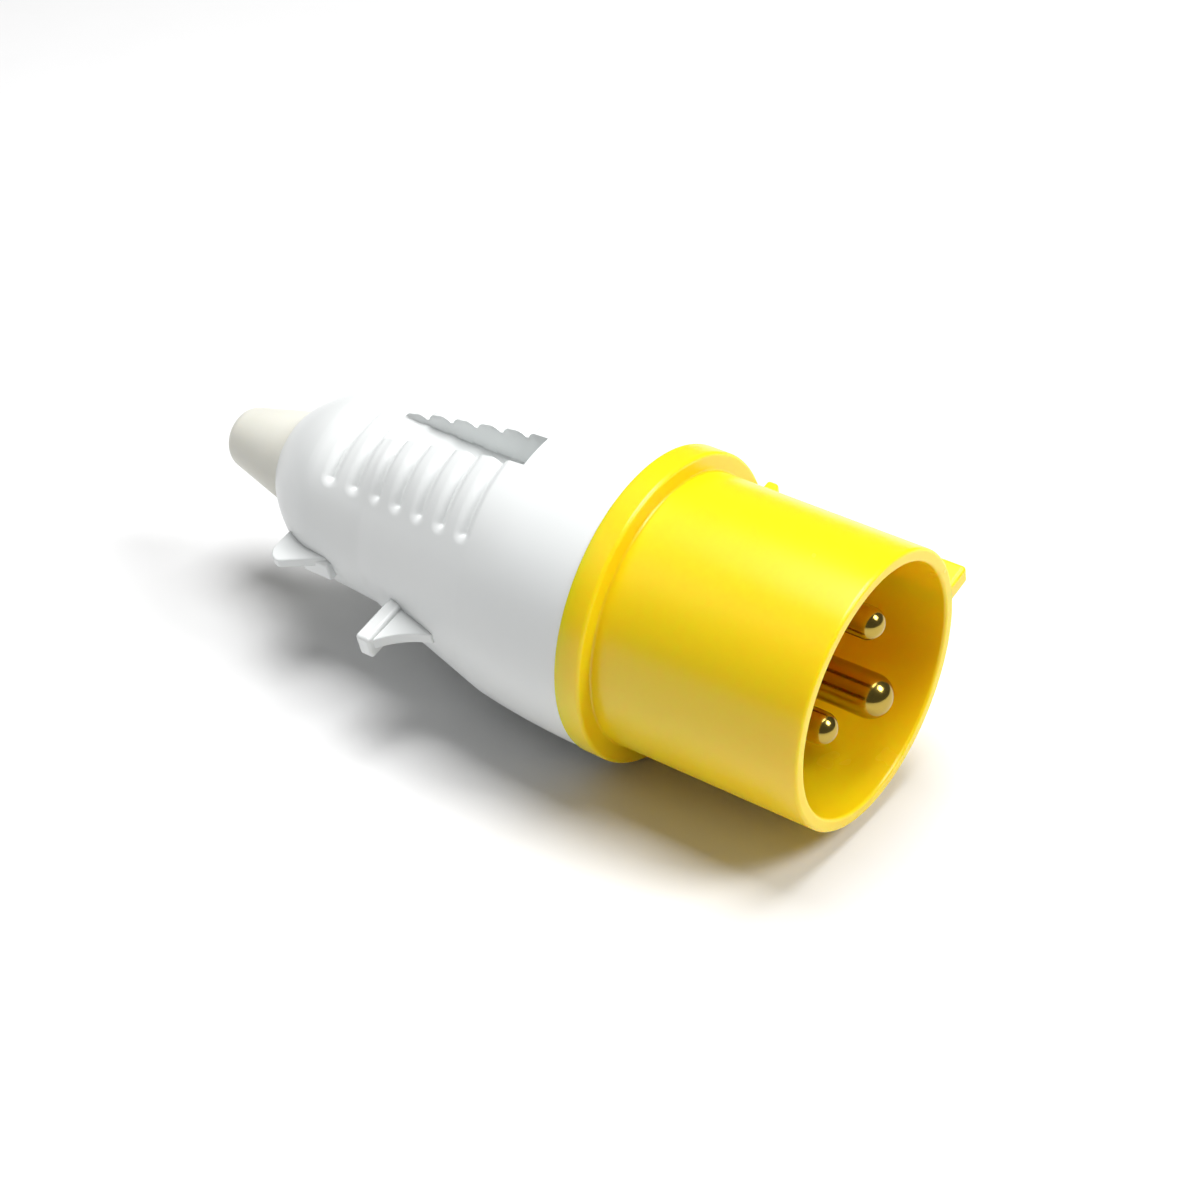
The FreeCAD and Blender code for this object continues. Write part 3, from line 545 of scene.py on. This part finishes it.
def grooved(station, height, angle):
    """The two parts of a height, along its groove's centre line and across it: height times cosine
    and height times sine. Between the groove's walls the first falls to the groove's floor."""
    upright = height * np.cos(np.radians(angle))
    across = height * np.sin(np.radians(angle))
    floor_x, floor_r = zip(*GROOVE_FLOOR)
    floor = np.interp(station, floor_x, floor_r)
    walls = eased(GROOVE_HALF_W - GROOVE_WALL_RUN, GROOVE_HALF_W + GROOVE_WALL_RUN, np.abs(across))
    front = eased(GROOVE_FRONT - GROOVE_FRONT_RUN, GROOVE_FRONT + GROOVE_FRONT_RUN, station)
    inside = (1 - walls) * (1 - front)
    return upright + (np.minimum(upright, floor) - upright) * inside, across


half_turn = housing_columns()
from_groove = np.concatenate([half_turn, half_turn])[None]
turn = np.radians(np.repeat(GROOVE_ANGLES, len(half_turn)))[None]
station = housing_rows()[:, None]
bare = housing_radius(station)
angle = fanned(from_groove, bare)
upright, across = grooved(station, grip_height(station, bare, angle), angle)
outer = np.stack([
    np.broadcast_to(station, upright.shape),
    -upright * np.cos(turn) + across * np.sin(turn),
    upright * np.sin(turn) + across * np.cos(turn)], axis=-1)

# The mouth, the nozzle's seat, the hollow inside and the front edge, turned round the axis. The last
# corner lies on the skin and only gives the mouth's arc its direction, so it is left off again, and
# so is the arc's first support point.
edge = outline([
    (MOUTH_X, MOUTH_R, MOUTH_ROUND), (MOUTH_X, MOUTH_BORE_R, 0), (LIP_X, MOUTH_BORE_R, 0),
    (LIP_X, SEAT_R, 0), (NECK_END, NECK_END_R - WALL, 0), (NECK_START, NECK_R - WALL, 0),
    (CONE_END, NECK_R - WALL, 0), (GROOVE_FRONT, NECK_R - WALL, 0),
    (GROOVE_FRONT + HOLLOW_STEP, BELL_R - WALL, 0), (FLANGE_BACK, FRONT_R - WALL, 0),
    (FLANGE_BACK, FRONT_R - FRONT_ARRIS, 0), (FLANGE_BACK - FRONT_NICK, FRONT_R - FRONT_NICK, 0),
    (NECK_END, NECK_END_R, 0)])[1:-1]
first_row = np.degrees(np.arctan2(outer[0, :, 2], -outer[0, :, 1]))
inner = round_the_axis(edge[:, :1], edge[:, 1:], first_row[None])
housing = surface("housing_moulding", np.concatenate([outer, inner]), loop_rows=True, sharp=50.0)

# Polyamide from a polished tool: a cool white with a gloss that the flow varies a little, over a
# grain so fine that it only softens the highlights.
white_moulding, tree, place = new_material("white_polyamide_gloss_moulded")
flow = add(tree, "ShaderNodeTexNoise", {
    "Scale": marks(18.0), "Detail": 3.0, "Roughness": 0.6}, {"Vector": place})
tone = add(tree, "ShaderNodeMix", {
    "data_type": "RGBA", "A": ink("#E6E9E9"), "B": ink("#ECEEED")}, {"Factor": flow.outputs["Fac"]})
grain = add(tree, "ShaderNodeTexNoise", {"Scale": marks(0.8), "Detail": 2.0}, {"Vector": place})
shine = add(tree, "ShaderNodeMapRange", {
    "To Min": 0.26, "To Max": 0.36}, {"Value": flow.outputs["Fac"]})
skin = add(tree, "ShaderNodeBump", {
    "Strength": 0.06, "Distance": 0.02 * MM}, {"Height": grain.outputs["Fac"]})
white = add(tree, "ShaderNodeBsdfPrincipled", {"IOR": 1.5}, {
    "Base Color": tone.outputs["Result"], "Roughness": shine.outputs["Result"],
    "Normal": skin.outputs["Normal"]})
add(tree, "ShaderNodeOutputMaterial", links={"Surface": white.outputs["BSDF"]})
housing.data.materials.append(white_moulding)
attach(housing, "root")
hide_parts("rear_housing")

# The stop tabs, their fins and the ears.
# Part of the housing's moulding, in the plane of the key and again half a turn away. The upright
# plate stops the catch of a socket's lid, the fin in front of it stiffens it, and the ear is a hook.
TAB_BACK = -75.5
TAB_FRONT = -72.8
TAB_R = 28.0
TAB_FOOT_R = 17.9
FIN_START = TAB_FRONT - 0.5
FIN_TOP_R = TAB_R - 0.9
FIN_END = -65.3
FIN_TOE_R = 22.1
FIN_SAG = 0.9
FIN_FOOT_R = 18.5
EAR_BACK = -100.65
EAR_FRONT = -91.0
EAR_TIP_R = 20.6
EAR_TAIL_ROUND = 2.6
EAR_FRONT_R = 16.6
EAR_FOOT_R = 12.3
EAR_HEEL_BACK = EAR_FRONT - 5.0
EAR_HEEL_FRONT = EAR_FRONT + 0.8
EAR_HEEL_R = 17.6

tab_side = [(TAB_BACK, TAB_FOOT_R), (TAB_BACK, TAB_R), (TAB_FRONT, TAB_R), (TAB_FRONT, TAB_FOOT_R)]
# The fin's edge hangs as an arc from the tab down to its toe.
fin_middle = ((TAB_FRONT + FIN_END) / 2, (FIN_TOP_R + FIN_TOE_R) / 2 - FIN_SAG)
fin_arc = through([(TAB_FRONT, FIN_TOP_R), fin_middle, (FIN_END, FIN_TOE_R)])
fin_x = np.linspace(TAB_FRONT, FIN_END, 13)
fin_edge = np.stack([fin_x, fin_arc[1] - np.sqrt(fin_arc[2]**2 - (fin_x - fin_arc[0])**2)], axis=1)
fin_side = [(FIN_START, FIN_FOOT_R), (FIN_START, FIN_TOP_R), *fin_edge.tolist(), (FIN_END, FIN_FOOT_R)]
# The ear's tail is a quarter round.
quarter = np.radians(np.linspace(180, 90, 9))
tail = np.stack([
    EAR_BACK + EAR_TAIL_ROUND + EAR_TAIL_ROUND * np.cos(quarter),
    EAR_TIP_R - EAR_TAIL_ROUND + EAR_TAIL_ROUND * np.sin(quarter)], axis=1)
ear_side = [(EAR_BACK, EAR_FOOT_R), *tail.tolist(), (EAR_FRONT, EAR_FRONT_R), (EAR_FRONT, EAR_FOOT_R)]
ear_heel_side = [
    (EAR_HEEL_BACK, EAR_FOOT_R), (EAR_HEEL_BACK, EAR_HEEL_R), (EAR_HEEL_FRONT, EAR_HEEL_R),
    (EAR_HEEL_FRONT, EAR_FOOT_R)]
# Each plate's side outline, half width, rounding, and how far its middle lies off the key's plane.
PLATES = {
    "stop_tab_": (tab_side, 2.1, 0.6, -0.6),
    "tab_fin_": (fin_side, 1.0, 0.35, -0.3),
    "ear_": (ear_side, 0.9, 0.35, -0.5),
    "ear_heel_": (ear_heel_side, 1.7, 0.4, -1.9)}
for end, angle in (("near", KEY_ANGLE - 180), ("far", KEY_ANGLE)):
    for name, (side, half_width, rounding, shift) in PLATES.items():
        piece = standing_plate(name + end, side, half_width, angle, rounding, shift)
        piece.data.materials.append(white_moulding)
        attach(piece, "root")
        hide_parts("rear_housing")

# The cable nozzle.
# A soft rubber cone that grips the cable. Its flange sits behind the housing's lip, and its tip has
# only a small hole until it is cut back to the cable's size.
NOZZLE_FLANGE_FRONT = LIP_X + 2.5
NOZZLE_FLANGE_R = 10.2
NOZZLE_FLANGE_ROUND = 0.2
NOZZLE_ROOT_R = 8.6
NOZZLE_BORE_R = 6.6
NOZZLE_TIP = -123.3
NOZZLE_TIP_R = 4.8
NOZZLE_TIP_ROUND = 2.8
TIP_HOLE_R = 2.2
TIP_HOLE_ROUND = 0.1
TIP_WALL = 3.0
NOZZLE_COLUMNS = 192

# Ivory rubber as moulded: a satin skin with a fine grain, slightly uneven in tone, and a little
# light that sinks in.
ivory_rubber, tree, place = new_material("ivory_rubber_moulded")
bloom = add(tree, "ShaderNodeTexNoise", {"Scale": marks(6.0), "Detail": 4.0}, {"Vector": place})
tone = add(tree, "ShaderNodeMix", {
    "data_type": "RGBA", "A": ink("#DDDCD1"), "B": ink("#E3E2D8")}, {"Factor": bloom.outputs["Fac"]})
grain = add(tree, "ShaderNodeTexNoise", {"Scale": marks(0.4), "Detail": 3.0}, {"Vector": place})
skin = add(tree, "ShaderNodeBump", {
    "Strength": 0.1, "Distance": 0.02 * MM}, {"Height": grain.outputs["Fac"]})
ivory = add(tree, "ShaderNodeBsdfPrincipled", {
    "IOR": 1.52, "Roughness": 0.42, "Subsurface Weight": 0.1, "Subsurface Radius": (1.0, 0.8, 0.5),
    "Subsurface Scale": 1.5 * MM}, {
    "Base Color": tone.outputs["Result"], "Normal": skin.outputs["Normal"]})
add(tree, "ShaderNodeOutputMaterial", links={"Surface": ivory.outputs["BSDF"]})

profile = outline([
    (NOZZLE_FLANGE_FRONT, NOZZLE_BORE_R, 0), (NOZZLE_FLANGE_FRONT, NOZZLE_FLANGE_R, NOZZLE_FLANGE_ROUND),
    (LIP_X, NOZZLE_FLANGE_R, NOZZLE_FLANGE_ROUND), (LIP_X, NOZZLE_ROOT_R, 0), (MOUTH_X, NOZZLE_ROOT_R, 0),
    (NOZZLE_TIP, NOZZLE_TIP_R, NOZZLE_TIP_ROUND), (NOZZLE_TIP, TIP_HOLE_R, TIP_HOLE_ROUND),
    (NOZZLE_TIP + TIP_WALL, TIP_HOLE_R, 0), (MOUTH_X, NOZZLE_BORE_R, 0)], steps=12)
nozzle = turned_piece("nozzle_moulding", profile, NOZZLE_COLUMNS)
nozzle.data.materials.append(ivory_rubber)
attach(nozzle, "root")
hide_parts("cable_nozzle")

# The cord clamp and its saddle.
# Two grey mouldings inside the housing, which grip the cable between bed and saddle.

# Polypropylene as moulded: a satin mid grey with a grain that varies its tone a little.
grey_moulding, tree, place = new_material("grey_polypropylene_satin_moulded")
grain = add(tree, "ShaderNodeTexNoise", {"Scale": marks(0.7), "Detail": 3.0}, {"Vector": place})
tone = add(tree, "ShaderNodeMix", {
    "data_type": "RGBA", "A": ink("#9B9D9D"), "B": ink("#A6A8A8")}, {"Factor": grain.outputs["Fac"]})
grey = add(tree, "ShaderNodeBsdfPrincipled", {
    "IOR": 1.49, "Roughness": 0.5}, {"Base Color": tone.outputs["Result"]})
add(tree, "ShaderNodeOutputMaterial", links={"Surface": grey.outputs["BSDF"]})
for node in ("cord_clamp", "cord_saddle"):
    finish_node(node, grey_moulding)

# The table and the light.
# The plug lies on a seamless sheet of matt white paper. A large soft lamp hangs over it and a little
# behind, a smaller one stands to the right, and a weak one and the pale room fill the shadows.
SHEET_HALF = 6.0
ROOM_LIGHT = 0.12
LAMP_AIM = (-0.06, 0.0, 0.0)
# Each lamp's place and the side of its square in metres, and its power in watts.
LAMPS = {
    "key_lamp": ((-0.06, 0.12, 0.88), 0.50, 8.8),
    "side_lamp": ((0.52, 0.22, 0.62), 0.30, 4.4),
    "rear_fill": ((-0.55, -0.30, 0.50), 0.50, 0.5)}

# Matt paper, nearly even in tone, with faint felt marks drawn far wider than real ones.
paper, tree, place = new_material("white_paper_matt")
felt = add(tree, "ShaderNodeTexNoise", {"Scale": marks(16.67), "Detail": 2.0}, {"Vector": place})
tone = add(tree, "ShaderNodeMix", {
    "data_type": "RGBA", "A": ink("#E6E6E6"), "B": ink("#E8E8E8")}, {"Factor": felt.outputs["Fac"]})
matt = add(tree, "ShaderNodeBsdfPrincipled", {
    "IOR": 1.4, "Roughness": 0.8}, {"Base Color": tone.outputs["Result"]})
add(tree, "ShaderNodeOutputMaterial", links={"Surface": matt.outputs["BSDF"]})

sheet = bpy.data.meshes.new("white_sheet")
corners = [(x * SHEET_HALF, y * SHEET_HALF, cad_box[0].z) for x, y in ((-1, -1), (1, -1), (1, 1), (-1, 1))]
sheet.from_pydata(corners, [], [(0, 1, 2, 3)])
sheet.materials.append(paper)
table = bpy.data.objects.new("white_sheet", sheet)
bpy.context.scene.collection.objects.link(table)

for name, (spot, size, power) in LAMPS.items():
    lamp = bpy.data.lights.new(name, "AREA")
    lamp.shape = "SQUARE"
    lamp.size = size
    lamp.energy = power
    holder = bpy.data.objects.new(name, lamp)
    holder.location = spot
    holder.rotation_euler = (Vector(LAMP_AIM) - Vector(spot)).to_track_quat("-Z", "Y").to_euler()
    bpy.context.scene.collection.objects.link(holder)

world = bpy.data.worlds.new("white_room")
world.use_nodes = True
background = world.node_tree.nodes["Background"]
background.inputs["Color"].default_value = (1.0, 1.0, 1.0, 1.0)
background.inputs["Strength"].default_value = ROOM_LIGHT
bpy.context.scene.world = world
bpy.context.scene.view_settings.view_transform = "Standard"

# The camera.
# It looks from the right of the plug's near side and from well above it, through a long lens.
CAMERA_AZIMUTH = 36.13
CAMERA_ELEVATION = 34.40
CAMERA_TARGET = (-45.9, -4.5, -0.1)
CAMERA_DISTANCE = 360.0
CAMERA_LENS = 71.45
SENSOR_WIDTH = 36.0
azimuth = math.radians(CAMERA_AZIMUTH)
elevation = math.radians(CAMERA_ELEVATION)
looking = Vector((
    -math.sin(azimuth) * math.cos(elevation), math.cos(azimuth) * math.cos(elevation),
    -math.sin(elevation)))
camera = bpy.data.cameras.new("camera")
camera.lens = CAMERA_LENS
camera.sensor_width = SENSOR_WIDTH
viewpoint = bpy.data.objects.new("camera", camera)
viewpoint.location = (Vector(CAMERA_TARGET) - looking * CAMERA_DISTANCE) * MM
viewpoint.rotation_euler = looking.to_track_quat("-Z", "Y").to_euler()
bpy.context.scene.collection.objects.link(viewpoint)
bpy.context.scene.camera = viewpoint
